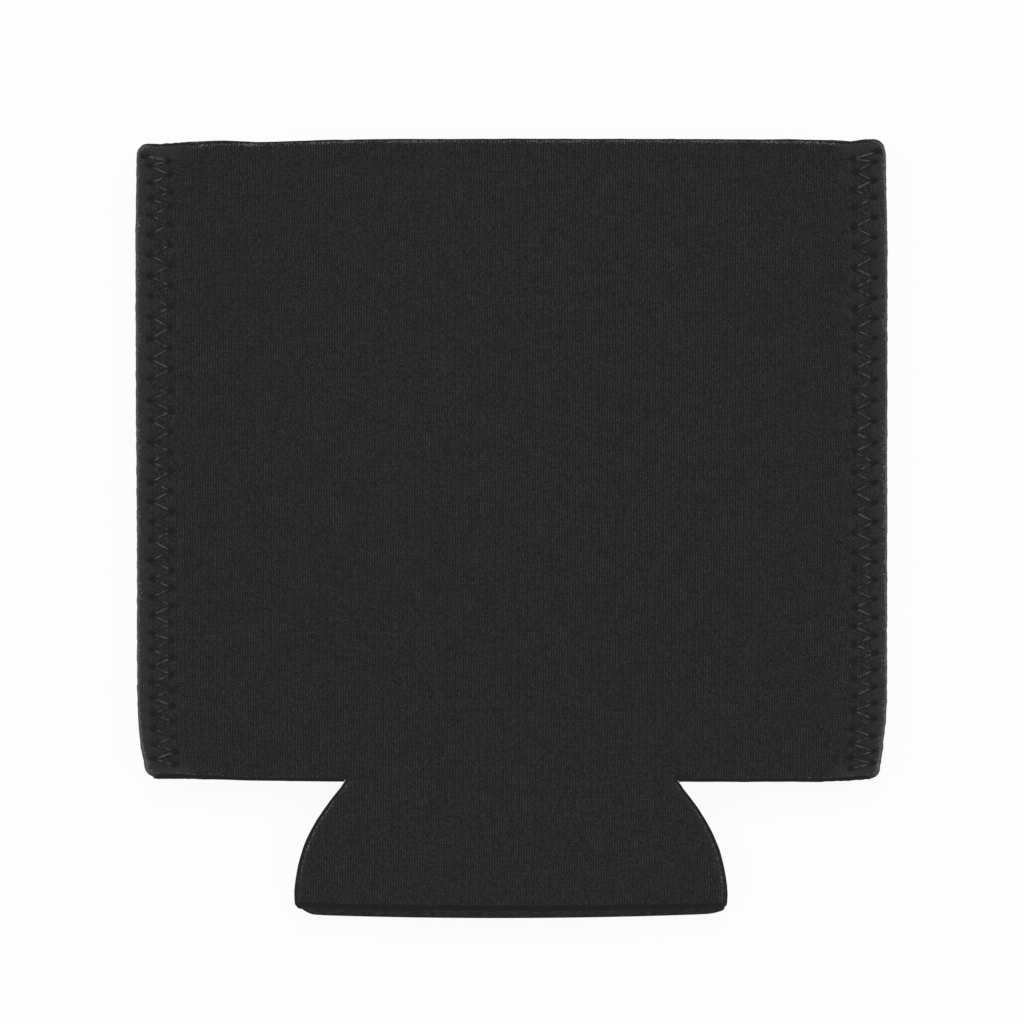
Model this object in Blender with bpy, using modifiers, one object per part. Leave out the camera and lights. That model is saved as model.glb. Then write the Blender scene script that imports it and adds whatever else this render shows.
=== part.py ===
"""Can cooler sleeve: one die-cut sheet of knit-faced foam, folded in half across its round base
and sewn up both sides with a zigzag lockstitch. It lies on its back, as it is stored.

Lengths are in metres and +Z is up. +Y runs from the folded base to the open mouth, and the
origin is the middle of the footprint, on the surface that the sleeve lies on.
"""

import math
from collections import namedtuple

import bmesh
import bpy

MM = 0.001

# %% Driving dimensions of the sheet

BASE_RADIUS = 31.75 * MM  # the round base that opens out under the can
STRAP_RISE = 20.0 * MM  # from the fold to the panels, along the strap that ends in the base
BODY_HEIGHT = 94.1 * MM  # panel, from the strap to the mouth
FOAM_THICKNESS = 3.0 * MM
SEAM_ALLOWANCE = 5.2 * MM  # from the inner needle line to the cut edge
CORNER_RADIUS = 1.5 * MM
END_DRAW = 1.1 * MM  # how far the seam draws the panel in at its lower end
END_DRAW_REACH = 14.0 * MM  # the height over which it does so

# %% Driving dimensions of the folded shape

LAYER_GAP = 0.3 * MM  # between the two panels where they are sewn or folded
POCKET_GAP = 4.8 * MM  # between them in the pocket
POCKET_RISE = 38.0 * MM  # height above the strap at which the pocket is fully open
FOLD_DEPTH = 1.9 * MM  # from the crease to the end of the fold, at its middle
FOLD_BOW = 0.55 * MM  # how much less that is towards the ends
FOLD_CORNER = 0.75 * MM  # how much less again at the very ends, which are rounded
FOLD_CORNER_WIDTH = 2.0 * MM  # the width of that rounding
EDGE_TUCK = 0.4 * MM  # how far the base's edge draws in at the fold
EDGE_TUCK_REACH = 3.0 * MM  # how far up the edge that reaches

# %% Driving dimensions of the seams

ZIGZAG_WIDTH = 2.9 * MM
STITCH_PITCH = 3.0 * MM  # from one needle hole to the next on the same line
PITCH_LOSS = 0.8 * MM  # how much shorter the stitches are at the lower end
PITCH_LOSS_REACH = 55.0 * MM  # the height over which they lengthen
SEAM_END = 2.4 * MM  # from a panel's end to its first needle hole
SHOULDER = 3.2 * MM  # width inside the seam over which the foam regains its thickness
THREAD_DIAMETER = 0.3 * MM
THREAD_GAP = 0.3 * MM  # between the thread and the foam under it
THREAD_LOOP = 0.3 * MM  # width of the thread's turn at a needle hole

# Share of its free thickness that the foam keeps in the seam.
LOFT_BETWEEN_STITCHES = 0.8
LOFT_AT_HOLE = 0.5
LOFT_AT_RIM = 0.8
LOFT_AT_EDGE = 0.62
EDGE_DENT = 0.1  # how much less that is beside a hole on the outer needle line

# %% Colours

KNIT_BLACK = (0.021, 0.021, 0.022, 1.0)
THREAD_BLACK = (0.045, 0.045, 0.047, 1.0)

# %% Sizes that follow from those

# The two panels together go once round the base, between their inner needle lines.
INNER_NEEDLE_X = math.pi * BASE_RADIUS / 2
HALF_WIDTH = INNER_NEEDLE_X + SEAM_ALLOWANCE
OUTER_NEEDLE_X = INNER_NEEDLE_X + ZIGZAG_WIDTH
SHOULDER_X = INNER_NEEDLE_X - SHOULDER

STRAP_HALF_WIDTH = math.sqrt(BASE_RADIUS**2 - STRAP_RISE**2)
FOLD_Y = -(STRAP_RISE + BODY_HEIGHT) / 2
CREASE_Y = FOLD_Y + FOLD_DEPTH
STRAP_Y = FOLD_Y + STRAP_RISE

BACK_INNER_Z = FOAM_THICKNESS
FOLD_INNER_RADIUS = LAYER_GAP / 2
THREAD_LIFT = THREAD_GAP + THREAD_DIAMETER / 2

# %% How finely the sheet is divided

STRAP_SHARES = (0, 0.35, 0.7, 0.95, 1)  # places of the columns across half the strap
STRAP_COLUMN = len(STRAP_SHARES) - 1  # the column on the strap's edge
WING_COLUMNS = 3
RIM_SHARE = 0.65  # place of the rim, on the way from the outer needle line to the edge
BASE_ROWS = 6
FOLD_STEPS = 8
CORNER_SHARES = (0, 0.3, 1)
ROWS_PER_COARSE_ROW = 5

SHOULDER_COLUMN = STRAP_COLUMN + WING_COLUMNS
NEEDLE_COLUMN = {"inner": SHOULDER_COLUMN + 1, "outer": SHOULDER_COLUMN + 2}
RIM_COLUMN = SHOULDER_COLUMN + 3
EDGE_COLUMN = SHOULDER_COLUMN + 4

BACK, FRONT = -1, 1

# A row of the sheet: its panel, its place along the sleeve, its height above the strap
# (negative on the base), its turn round the fold from -90 to 90 degrees, and the needle
# line, "inner" or "outer", that has a hole on it.
Row = namedtuple("Row", "panel y height turn needle")


def smooth(share):
    """0 to 1 as share goes from 0 to 1, level at both ends."""
    share = min(max(share, 0.0), 1.0)
    return share * share * (3 - 2 * share)


# %% The rows of the sheet, from the back panel's mouth to the front panel's


def needle_holes():
    """(height above the strap, needle line) of each stitch hole, from the bottom up."""
    holes = []
    height = SEAM_END
    needle = "inner"
    while height <= BODY_HEIGHT - SEAM_END:
        holes.append((height, needle))
        slow = max(1 - height / PITCH_LOSS_REACH, 0.0)
        height += (STITCH_PITCH - PITCH_LOSS * slow**2) / 2
        needle = "outer" if needle == "inner" else "inner"
    return holes


def panel_rows(panel):
    """Rows of one panel: one through each needle hole, and a few round each corner."""
    corner = [CORNER_RADIUS * share for share in CORNER_SHARES]
    plain = corner + [BODY_HEIGHT - height for height in corner]
    rows = sorted([(height, None) for height in plain] + needle_holes(), key=lambda row: row[0])
    return [Row(panel, STRAP_Y + height, height, 90 * panel, needle) for height, needle in rows]


def base_rows(panel):
    """Rows of one half of the round base, from the crease to just short of the panel."""
    start = math.asin(FOLD_DEPTH / BASE_RADIUS)
    end = math.asin(STRAP_RISE / BASE_RADIUS)
    rows = []
    for step in range(BASE_ROWS):
        angle = start + (end - start) * step / BASE_ROWS
        y = FOLD_Y + BASE_RADIUS * math.sin(angle)
        rows.append(Row(panel, y, y - STRAP_Y, 90 * panel, None))
    return rows


def fold_rows():
    """Rows round the fold, between the two creases."""
    rows = []
    for step in range(1, FOLD_STEPS):
        turn = -90 + 180 * step / FOLD_STEPS
        y = CREASE_Y - FOLD_DEPTH * math.cos(math.radians(turn))
        rows.append(Row(BACK if turn < 0 else FRONT, y, y - STRAP_Y, turn, None))
    return rows


def sheet_rows():
    back = base_rows(BACK) + panel_rows(BACK)
    front = base_rows(FRONT) + panel_rows(FRONT)
    return back[::-1] + fold_rows() + front


# %% The columns of its right half, from the middle out


def corner_inset(to_end):
    """How far a rounded corner draws the edge in, that far from the panel's end."""
    short = max(CORNER_RADIUS - to_end, 0.0)
    return CORNER_RADIUS - math.sqrt(CORNER_RADIUS**2 - short**2)


def edge_draw(height):
    """How far the seam draws a panel's edge in, at that height."""
    return END_DRAW * max(1 - height / END_DRAW_REACH, 0.0) ** 2


def seam_columns(height):
    """Where the shoulder, the two needle lines, the rim and the edge are, at that height."""
    draw = edge_draw(height)
    to_end = min(height, BODY_HEIGHT - height)
    outer = OUTER_NEEDLE_X - draw
    edge = HALF_WIDTH - draw - corner_inset(to_end)
    rim = outer + (edge - outer) * RIM_SHARE
    return [SHOULDER_X - draw, INNER_NEEDLE_X - draw, outer, rim, edge]


def base_half_width(y):
    """Half the width of the round base, whose edge draws in a little at the fold."""
    out = y - FOLD_Y
    tuck = EDGE_TUCK * max(1 - out / EDGE_TUCK_REACH, 0.0) ** 2
    return math.sqrt(BASE_RADIUS**2 - out**2) - tuck


def column_places(row):
    """Distance of each column from the middle of the sheet, on this row."""
    half = base_half_width(row.y) if row.height < 0 else STRAP_HALF_WIDTH
    strap = [half * share for share in STRAP_SHARES]
    if row.height < 0:
        return strap
    seam = seam_columns(row.height)
    step = (seam[0] - half) / WING_COLUMNS
    wing = [half + step * count for count in range(1, WING_COLUMNS)]
    return strap + wing + seam


# %% The folded shape


def layer_gap(x, height):
    """Space between the two panels' inner faces."""
    across = smooth((INNER_NEEDLE_X - x) / (INNER_NEEDLE_X - STRAP_HALF_WIDTH))
    along = smooth(height / POCKET_RISE)
    return LAYER_GAP + (POCKET_GAP - LAYER_GAP) * across * along


def inner_face(row, x):
    """The point of the sheet's inner face on this row, that far from the middle."""
    if abs(row.turn) < 90:
        turn = math.radians(row.turn)
        y = CREASE_Y - FOLD_INNER_RADIUS * math.cos(turn)
        z = BACK_INNER_Z + FOLD_INNER_RADIUS * (1 + math.sin(turn))
        return x, y, z
    z = BACK_INNER_Z + (layer_gap(x, row.height) if row.panel == FRONT else 0.0)
    return x, row.y, z


def fold_depth(x):
    """From the crease to the end of the fold, that far from the middle of the sheet."""
    bow = FOLD_BOW * (x / BASE_RADIUS) ** 2
    into_corner = max(1 - (base_half_width(FOLD_Y) - x) / FOLD_CORNER_WIDTH, 0.0)
    return FOLD_DEPTH - bow - FOLD_CORNER * into_corner**2


def fold_loft(turn, x):
    """Share of its thickness that the foam keeps round the fold, which is flattened: its
    section is half an ellipse, as thick as the two layers."""
    depth = fold_depth(x)
    half_thickness = FOAM_THICKNESS + FOLD_INNER_RADIUS
    out = math.cos(math.radians(turn)) / depth
    up = math.sin(math.radians(turn)) / half_thickness
    return (1 / math.hypot(out, up) - FOLD_INNER_RADIUS) / FOAM_THICKNESS


def loft(row, column, x):
    """Share of its thickness that the foam keeps at this point."""
    dent = EDGE_DENT if row.needle == "outer" else 0.0
    if abs(row.turn) < 90:
        return fold_loft(row.turn, x)
    if column == EDGE_COLUMN:
        return LOFT_AT_EDGE - dent
    if column == RIM_COLUMN:
        return LOFT_AT_RIM - dent
    if column > SHOULDER_COLUMN:
        pierced = column == NEEDLE_COLUMN.get(row.needle)
        return LOFT_AT_HOLE if pierced else LOFT_BETWEEN_STITCHES
    return 1.0


# %% The sheet as a mesh
# Each vertex of a plain grid is one row and one column of the sheet.


def plain_grid(rows):
    """The grid, and the (row number, column) of each of its vertices."""
    sheet = bmesh.new()
    last_row = len(rows) - 1
    bmesh.ops.create_grid(sheet, x_segments=EDGE_COLUMN, y_segments=last_row, size=0.5)
    sheet.verts.layers.float.new("loft")
    place = {}
    for vert in sheet.verts:
        number = round((vert.co.y + 0.5) * last_row)
        place[vert] = (number, round((vert.co.x + 0.5) * EDGE_COLUMN))
    return sheet, place


def cut_out(sheet, place, rows):
    """Takes away what the die cuts off beside the strap and the base."""
    waste = [vert for vert, (number, column) in place.items()
             if rows[number].height < 0 and column > STRAP_COLUMN]
    for vert in waste:
        del place[vert]
    bmesh.ops.delete(sheet, geom=waste, context="VERTS")


def fold(sheet, place, rows):
    """Moves each vertex to its place on the folded sheet, and gives it its loft."""
    loft_layer = sheet.verts.layers.float["loft"]
    for vert, (number, column) in place.items():
        row = rows[number]
        x = column_places(row)[column]
        vert.co = inner_face(row, x)
        vert[loft_layer] = loft(row, column, x)


def crease_along_stitches(place, rows):
    """Splits each face between the needle lines from hole to hole, where the thread lies."""
    pierced = [vert for vert, (number, column) in place.items()
               if column == NEEDLE_COLUMN.get(rows[number].needle)]
    for vert in pierced:
        for face in list(vert.link_faces):
            far_hole = [other for other in face.verts if other in pierced and other is not vert]
            if far_hole and len(face.verts) == 4:
                bmesh.utils.face_split(face, vert, far_hole[0])


def drop_spare_rows(sheet, place, rows):
    """Between the seams, keeps only every few of the panels' rows."""

    def spare(edge):
        (number, column), (other_number, other_column) = (place[vert] for vert in edge.verts)
        inside = 0 < rows[number].height < BODY_HEIGHT and number % ROWS_PER_COARSE_ROW
        return inside and number == other_number and max(column, other_column) <= SHOULDER_COLUMN

    spares = [edge for edge in sheet.edges if spare(edge)]
    bmesh.ops.dissolve_edges(sheet, edges=spares, use_verts=True)
    bmesh.ops.triangulate(sheet, faces=[face for face in sheet.faces if len(face.verts) > 4])


# %% Materials


def plain_material(name, colour, roughness):
    material = bpy.data.materials.new(name)
    material.use_nodes = True
    shader = material.node_tree.nodes["Principled BSDF"]
    shader.inputs["Base Color"].default_value = colour
    shader.inputs["Roughness"].default_value = roughness
    shader.inputs["Metallic"].default_value = 0.0
    material.diffuse_color = colour
    return material


# %% The solids


def make_sleeve_body(parts):
    """The foam sheet: its folded inner face, mirrored and thickened outwards by its loft."""
    rows = sheet_rows()
    sheet, place = plain_grid(rows)
    cut_out(sheet, place, rows)
    fold(sheet, place, rows)
    crease_along_stitches(place, rows)
    drop_spare_rows(sheet, place, rows)
    loft_layer = sheet.verts.layers.float["loft"]
    lofts = [vert[loft_layer] for vert in sheet.verts]
    mesh = bpy.data.meshes.new("sleeve_body")
    sheet.to_mesh(mesh)
    sheet.free()

    body = bpy.data.objects.new("sleeve_body", mesh)
    parts.objects.link(body)
    mesh.materials.append(plain_material("black_knit", KNIT_BLACK, 0.95))
    kept = body.vertex_groups.new(name="loft")
    for number, share in enumerate(lofts):
        kept.add([number], share, "REPLACE")
    mirror = body.modifiers.new("left half", "MIRROR")
    mirror.merge_threshold = 0.1 * MM
    foam = body.modifiers.new("foam", "SOLIDIFY")
    foam.thickness = FOAM_THICKNESS
    foam.offset = 1
    foam.vertex_group = kept.name


def thread_points(side, z):
    """Centre line of one seam thread: two points at each needle hole, where it turns."""
    points = []
    for height, needle in needle_holes():
        hole = seam_columns(height)[1 if needle == "inner" else 2]
        for half_turn in (-0.5, 0.5):
            points.append((side * hole, STRAP_Y + height + half_turn * THREAD_LOOP, z))
    return points


def make_thread(parts, name, side, z, material):
    """A thread that zigzags up one seam at height z; side is 1 on the right, -1 on the left."""
    curve = bpy.data.curves.new(name, "CURVE")
    curve.dimensions = "3D"
    curve.bevel_depth = THREAD_DIAMETER / 2
    curve.bevel_resolution = 1
    curve.use_fill_caps = True
    points = thread_points(side, z)
    spline = curve.splines.new("POLY")
    spline.points.add(len(points) - 1)
    for point, place in zip(spline.points, points):
        point.co = (*place, 1.0)
    curve.materials.append(material)
    thread = bpy.data.objects.new(name, curve)
    parts.objects.link(thread)
    return thread


def make_seams(parts):
    """The needle thread on the front and the bobbin thread on the back of each seam."""
    thread_black = plain_material("black_thread", THREAD_BLACK, 0.6)
    hole_thickness = FOAM_THICKNESS * LOFT_AT_HOLE
    front_z = BACK_INNER_Z + LAYER_GAP + hole_thickness + THREAD_LIFT
    back_z = BACK_INNER_Z - hole_thickness - THREAD_LIFT
    for side, side_name in ((-1, "left"), (1, "right")):
        make_thread(parts, f"{side_name}_seam_needle_thread", side, front_z, thread_black)
        make_thread(parts, f"{side_name}_seam_bobbin_thread", side, back_z, thread_black)


# %% Build


def main():
    for old in list(bpy.data.objects):
        bpy.data.objects.remove(old, do_unlink=True)
    parts = bpy.data.collections.new("can_cooler_sleeve")
    bpy.context.scene.collection.children.link(parts)
    make_sleeve_body(parts)
    make_seams(parts)


main()
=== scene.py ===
# %% [markdown]
# # A foam can cooler sleeve, folded flat
#
# This lesson dresses a finished construction model. The construction holds the sizes: one sheet of
# knit-faced foam, folded in half across its round base and sewn up both sides. Here we make what
# the eye sees on it: the soft, dented seams, the twisted thread, the cut foam edges and the knit.
# Every length below is in metres, and +Y runs from the folded base to the open mouth.

# %% Load the construction model
import math

import bpy
import numpy as np
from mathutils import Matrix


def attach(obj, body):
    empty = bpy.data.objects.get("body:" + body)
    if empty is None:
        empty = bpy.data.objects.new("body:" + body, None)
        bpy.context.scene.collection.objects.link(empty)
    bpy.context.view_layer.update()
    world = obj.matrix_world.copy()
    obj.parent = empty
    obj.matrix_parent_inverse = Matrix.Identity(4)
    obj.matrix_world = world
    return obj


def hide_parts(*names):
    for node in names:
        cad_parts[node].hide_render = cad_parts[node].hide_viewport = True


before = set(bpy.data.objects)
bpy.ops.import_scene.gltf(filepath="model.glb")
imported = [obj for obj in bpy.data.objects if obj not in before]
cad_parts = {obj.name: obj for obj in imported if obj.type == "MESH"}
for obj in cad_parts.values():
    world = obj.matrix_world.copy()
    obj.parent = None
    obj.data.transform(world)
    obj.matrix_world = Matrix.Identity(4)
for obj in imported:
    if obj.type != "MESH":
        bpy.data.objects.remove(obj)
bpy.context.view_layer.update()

MM = 0.001

# %% [markdown]
# ## The picture: camera, light and floor
#
# The sleeve was photographed lying on its back panel, from straight above. A long lens keeps the
# sides of such a flat thing from leaning outwards, so the camera stands high and looks down -Z,
# which is how a camera looks when it isn't turned at all.

# %% Camera
PICTURE_WIDTH = 149.95 * MM  # how much of the object's plane the picture shows
PICTURE_CENTRE = (0.06 * MM, 2.34 * MM)
OBJECT_PLANE = 5.5 * MM  # height of the outline that fills the picture
LENS = 400.0
SENSOR = 36.0

camera = bpy.data.objects.new("camera", bpy.data.cameras.new("camera"))
camera.data.lens = LENS
camera.data.sensor_width = SENSOR
camera.data.clip_end = 10.0
camera.location = (*PICTURE_CENTRE, OBJECT_PLANE + PICTURE_WIDTH * LENS / SENSOR)
bpy.context.scene.collection.objects.link(camera)
bpy.context.scene.camera = camera
print("camera height, mm:", round(camera.location.z / MM, 1))

# %% [markdown]
# The light is that of a small studio table. A weak glow comes from all sides and a broad lamp
# hangs overhead. Two soft boxes stand low at the left and right, so the two sewn edges are rimmed
# with light while the mouth and the fold stay black. The rims are also painted paler and the fold
# painted darker, as painted highlight and painted shade. A smaller lamp beyond the mouth draws a
# thin shadow on the near side of each thread, and a painted shadow line darkens it further.

# %% Lamps
TENT_GLOW = 0.26
# Each lamp: its strength, the angle that it fills, and its tilt from overhead to the left and to
# the mouth, all angles in degrees.
LAMPS = {
    "overhead": (1.0, 100, 0, 12),
    "left_box": (0.95, 40, 64, 8),
    "right_box": (0.95, 40, -64, 8),
    "beyond_mouth": (0.7, 16, 0, 42),
}

tent = bpy.data.worlds.new("tent")
tent.use_nodes = True
tent.node_tree.nodes["Background"].inputs["Strength"].default_value = TENT_GLOW
tent.node_tree.nodes["Background"].inputs["Color"].default_value = (1.0, 1.0, 1.0, 1.0)
bpy.context.scene.world = tent

for name, (strength, spread, to_left, to_mouth) in LAMPS.items():
    lamp = bpy.data.objects.new(name, bpy.data.lights.new(name, "SUN"))
    lamp.data.energy = strength
    lamp.data.angle = math.radians(spread)
    lamp.rotation_euler = (-math.radians(to_mouth), -math.radians(to_left), 0.0)
    bpy.context.scene.collection.objects.link(lamp)

# %% [markdown]
# The floor is a white table that is lit so brightly that it keeps no shadow, as in a catalogue
# picture. It glows for the camera alone: if it lit the sleeve too, every steep edge would turn
# pale. So much white round a black thing also scatters a little light inside the lens, which lifts
# the blacks. The view's curve starts a little above zero for that.

# %% Floor and view
FLOOR_GLOW = 0.93
FLOOR_WHITE = 0.06
FLOOR_SIZE = 12.0
LENS_HAZE = 0.0155

view = bpy.context.scene.view_settings
view.view_transform = "Standard"
view.use_curve_mapping = True
view.curve_mapping.curves[3].points[0].location = (0.0, LENS_HAZE)
view.curve_mapping.update()


def principled(name, levels):
    """A new material and its shader, with those plain numbers set on it."""
    material = bpy.data.materials.new(name)
    material.use_nodes = True
    shader = material.node_tree.nodes["Principled BSDF"]
    for socket, level in levels.items():
        shader.inputs[socket].default_value = level
    return material, shader


white_table, _ = principled("white_table", {
    "Base Color": (FLOOR_WHITE, FLOOR_WHITE, FLOOR_WHITE, 1.0),
    "Roughness": 1.0,
    "Specular IOR Level": 0.0,
    "Emission Color": (1.0, 1.0, 1.0, 1.0),
    "Emission Strength": FLOOR_GLOW,
})

half = FLOOR_SIZE / 2
floor_mesh = bpy.data.meshes.new("floor")
floor_mesh.from_pydata([(-half, -half, 0), (half, -half, 0), (half, half, 0), (-half, half, 0)],
                       [], [(0, 1, 2, 3)])
floor_mesh.materials.append(white_table)
floor = bpy.data.objects.new("floor", floor_mesh)
bpy.context.scene.collection.objects.link(floor)
floor.visible_diffuse = floor.visible_glossy = False

# %% [markdown]
# ## The sizes of the real sleeve
#
# These are the construction's own sizes, written out again because this lesson can't read its
# source, with a few set closer to the photographed sleeve. The girth between the inner needle
# lines is the circumference of the round base, so the seams' places follow from its radius.

# %% Sizes of the cut sheet
BASE_RADIUS = 31.75 * MM
STRAP_RISE = 20.0 * MM
PRESSED_OUT = 0.17 * MM  # how much longer the soft sheet lies than it was drawn
BODY_HEIGHT = 94.1 * MM + PRESSED_OUT
FOAM_THICKNESS = 3.0 * MM
SEAM_ALLOWANCE = 5.2 * MM
CORNER_RADIUS = {"bottom": 1.05 * MM, "mouth": 1.65 * MM}
END_DRAW, END_DRAW_REACH = 1.1 * MM, 14.0 * MM

INNER_NEEDLE_X = math.pi * BASE_RADIUS / 2
HALF_WIDTH = INNER_NEEDLE_X + SEAM_ALLOWANCE
STRAP_HALF_WIDTH = math.sqrt(BASE_RADIUS**2 - STRAP_RISE**2)

# %% Sizes of the folded shape
LAYER_GAP = 0.3 * MM
POCKET_GAP, POCKET_RISE = 4.8 * MM, 38.0 * MM
FOLD_DEPTH, FOLD_BOW, FOLD_BOW_MIDDLE = 1.9 * MM, 0.63 * MM, -1.8 * MM
CREASE_RISE, CREASE_RISE_REACH = 0.42 * MM, 6.0 * MM  # how far the crease curves up at its ends
FOLD_STRAY = -0.11 * MM  # how far to the right the fold lies
FOLD_CORNER, FOLD_CORNER_WIDTH = {"left": 1.4 * MM, "right": 0.55 * MM}, 3.0 * MM
EDGE_TUCK, EDGE_TUCK_REACH = 0.4 * MM, 3.0 * MM

FOLD_Y = -(STRAP_RISE + BODY_HEIGHT + PRESSED_OUT) / 2
CREASE_Y = FOLD_Y + FOLD_DEPTH
STRAP_Y = FOLD_Y + STRAP_RISE
BACK_INNER_Z = FOAM_THICKNESS
FOLD_INNER_RADIUS = LAYER_GAP / 2

# %% Sizes of the seams
ZIGZAG_WIDTH = 2.9 * MM
SHOULDER = 3.2 * MM
OUTER_NEEDLE_X = INNER_NEEDLE_X + ZIGZAG_WIDTH
SHOULDER_X = INNER_NEEDLE_X - SHOULDER

# %% [markdown]
# ## Needle holes
#
# A zigzag machine pierces the seam left and right in turn. The holes stand closer together at both
# ends, where the foam drags, so we say how long a zigzag is at a few heights and let the count of
# holes fill the seam. No two stitches are quite alike, so each hole gets a small seeded nudge. The
# dents in the foam and the thread both start from this one list.

# %% Where the needle went in
HOLE_NUDGE = (0.07 * MM, 0.11 * MM)  # across and along the seam
HOLE_PULL = (0.75, 1.2)  # how hard the thread pulls at a hole, against the usual
HOLE_COUNT = 68
SEAM_SPAN = {"left": (2.15 * MM, 92.55 * MM), "right": (1.9 * MM, 92.5 * MM)}  # first and last hole
SEAM_SHIFT = {"left": 0.1 * MM, "right": 0.35 * MM}  # how far out each seam ran
# How long a whole zigzag is at these heights, all in mm.
PITCH_HEIGHTS = (0, 6, 12, 22, 36, 52, 80, 85, 92)
PITCHES = {
    "left": (2.05, 2.25, 2.3, 2.5, 2.85, 3.0, 3.05, 2.45, 2.2),
    "right": (1.5, 2.2, 2.35, 2.6, 2.85, 3.0, 2.95, 2.85, 1.9),
}

# How far the first holes, and the last ones from the top down, strayed out and up, in mm.
FIRST_STRAYS = {
    "left": [(0.5, 0.0), (0.6, -0.1), (0.15, -0.05), (0.05, -0.1)],
    "right": [(0.45, -0.2), (0.65, -0.45), (0.25, -0.3), (0.55, -0.45), (0.2, -0.3), (0.2, -0.5),
              (0, -0.3)],
}
LAST_STRAYS = {
    "left": [(0.95, 0.0), (0.4, 0.25), (0.15, 0.8), (0.15, 0.3), (0.15, 0.3)],
    "right": [(0.6, 0.15), (0.0, 0.2), (0.1, 0.65), (0.3, 0.35)],
}


def edge_draw(height):
    """How far the seam draws a panel's edge in, at that height above the strap."""
    return END_DRAW * np.maximum(1 - height / END_DRAW_REACH, 0.0) ** 2


def hole_heights(side):
    """Height of each hole of one seam, bottom to top."""
    fine = np.linspace(*SEAM_SPAN[side], 600)
    passed = np.cumsum(1 / np.interp(fine / MM, PITCH_HEIGHTS, PITCHES[side]))
    passed = (passed - passed[0]) / (passed[-1] - passed[0]) * (HOLE_COUNT - 1)
    return np.interp(np.arange(HOLE_COUNT), passed, fine)


def needle_holes(side):
    """(distance from the middle, height, outer line or not, pull) of each hole, bottom to top."""
    holes = []
    for n, height in enumerate(hole_heights(side)):
        outer = n % 2 == 1
        line = OUTER_NEEDLE_X if outer else INNER_NEEDLE_X
        nudge = random.uniform(-1, 1, 2) * HOLE_NUDGE
        across = line + SEAM_SHIFT[side] - edge_draw(height) + nudge[0]
        holes.append((across, height + nudge[1], outer, random.uniform(*HOLE_PULL)))
    holes = np.array(holes, float)
    for n, stray in enumerate(FIRST_STRAYS[side]):
        holes[n, :2] += np.array(stray) * MM
    for n, stray in enumerate(LAST_STRAYS[side]):
        holes[-1 - n, :2] += np.array(stray) * MM
    return holes


random = np.random.default_rng(11)
SIDES = {"left": -1, "right": 1}
HOLES = {side: needle_holes(side) for side in SIDES}
print("needle holes in each seam:", {side: len(holes) for side, holes in HOLES.items()})

# %% [markdown]
# ## The folded sheet
#
# The body is one sheet, so it is one mesh: a grid of rows that run across the sleeve, from the back
# panel's mouth, down the back, round the fold and up the front to its mouth. The seams need a grid
# fine enough for dents half a millimetre across, and the plain middle doesn't. So the seam strips
# keep every row, and the middle keeps only some of them.

# %% Rows of the sheet
# How far the knit stops short of the cut edge.
CUT_INSET = {"mouth": 0.24 * MM, "bottom": 0.54 * MM}
SIDE_INSET = (0.34 * MM, 0.62 * MM)  # the same along a seam: usually, and at the strap
FLANK_INSET = (0.38 * MM, 0.72 * MM)  # the same on the base's edge: at the strap, and at the fold
ROW_STEP = 0.3 * MM
END_ROWS = np.array([0.0, 0.06, 0.14, 0.24, 0.36, 0.52, 0.72, 0.95]) * MM
CREASE_ROWS = np.array([0.0, 0.05, 0.15, 0.35]) * MM
BASE_ROWS = 26
FOLD_STEPS = 26
BACK, FRONT = -1, 1


def panel_heights():
    """Heights of a panel's rows above the strap, closer together at its two ends."""
    bottom, top = CUT_INSET["bottom"], BODY_HEIGHT - CUT_INSET["mouth"]
    start, stop = bottom + END_ROWS[-1], top - END_ROWS[-1]
    count = round((stop - start) / ROW_STEP)
    between = np.linspace(start, stop, count + 1)[1:-1]
    return np.concatenate([bottom + END_ROWS, between, (top - END_ROWS)[::-1]])


def base_places():
    """Places along the sleeve of half the base's rows, from the crease to the strap."""
    start = math.asin((FOLD_DEPTH + CREASE_ROWS[-1]) / BASE_RADIUS)
    end = math.asin(STRAP_RISE / BASE_RADIUS)
    angles = np.linspace(start, end, BASE_ROWS)[1:]
    return np.concatenate([CREASE_Y + CREASE_ROWS, FOLD_Y + BASE_RADIUS * np.sin(angles)])


def sheet_rows():
    """Panel, place along the sleeve and turn round the fold of each row, as three arrays."""
    half = np.concatenate([base_places(), STRAP_Y + panel_heights()])
    turns = np.linspace(-90, 90, FOLD_STEPS + 1)[1:-1]
    fold = CREASE_Y - FOLD_DEPTH * np.cos(np.radians(turns))
    along = np.concatenate([half[::-1], fold, half])
    turn = np.concatenate([np.full(len(half), -90.0), turns, np.full(len(half), 90.0)])
    return np.where(turn < 0, BACK, FRONT), along, turn


ROW_PANEL, ROW_Y, ROW_TURN = sheet_rows()
ROW_HEIGHT = ROW_Y - STRAP_Y
ON_PANEL = ROW_HEIGHT > CUT_INSET["bottom"] / 2
print("rows of the sheet:", len(ROW_Y), "of which on the panels:", int(ON_PANEL.sum()))

# %% Columns of the sheet
STRAP_COLUMNS, WING_COLUMNS, SEAM_COLUMNS = 18, 15, 32
EDGE_SHARES = (0.965, 0.985, 0.998)  # more columns close to the base's cut edge
NECK_SHARES = (0.012, 0.026, 0.045)  # and in the panel beside the strap
WING_COLUMN = STRAP_COLUMNS + len(EDGE_SHARES)
SEAM_COLUMN = WING_COLUMN + WING_COLUMNS + len(NECK_SHARES)
EDGE_COLUMN = SEAM_COLUMN + SEAM_COLUMNS

even = np.linspace(0, 1, STRAP_COLUMNS + 1)
STRAP_SHARES = np.sort(np.concatenate([even, EDGE_SHARES]))
WING_SHARES = np.sort(np.concatenate([np.linspace(0, 1, WING_COLUMNS + 1)[1:], NECK_SHARES]))
SEAM_SHARES = np.append(np.linspace(0, 0.992, SEAM_COLUMNS)[1:], 1.0)
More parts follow.
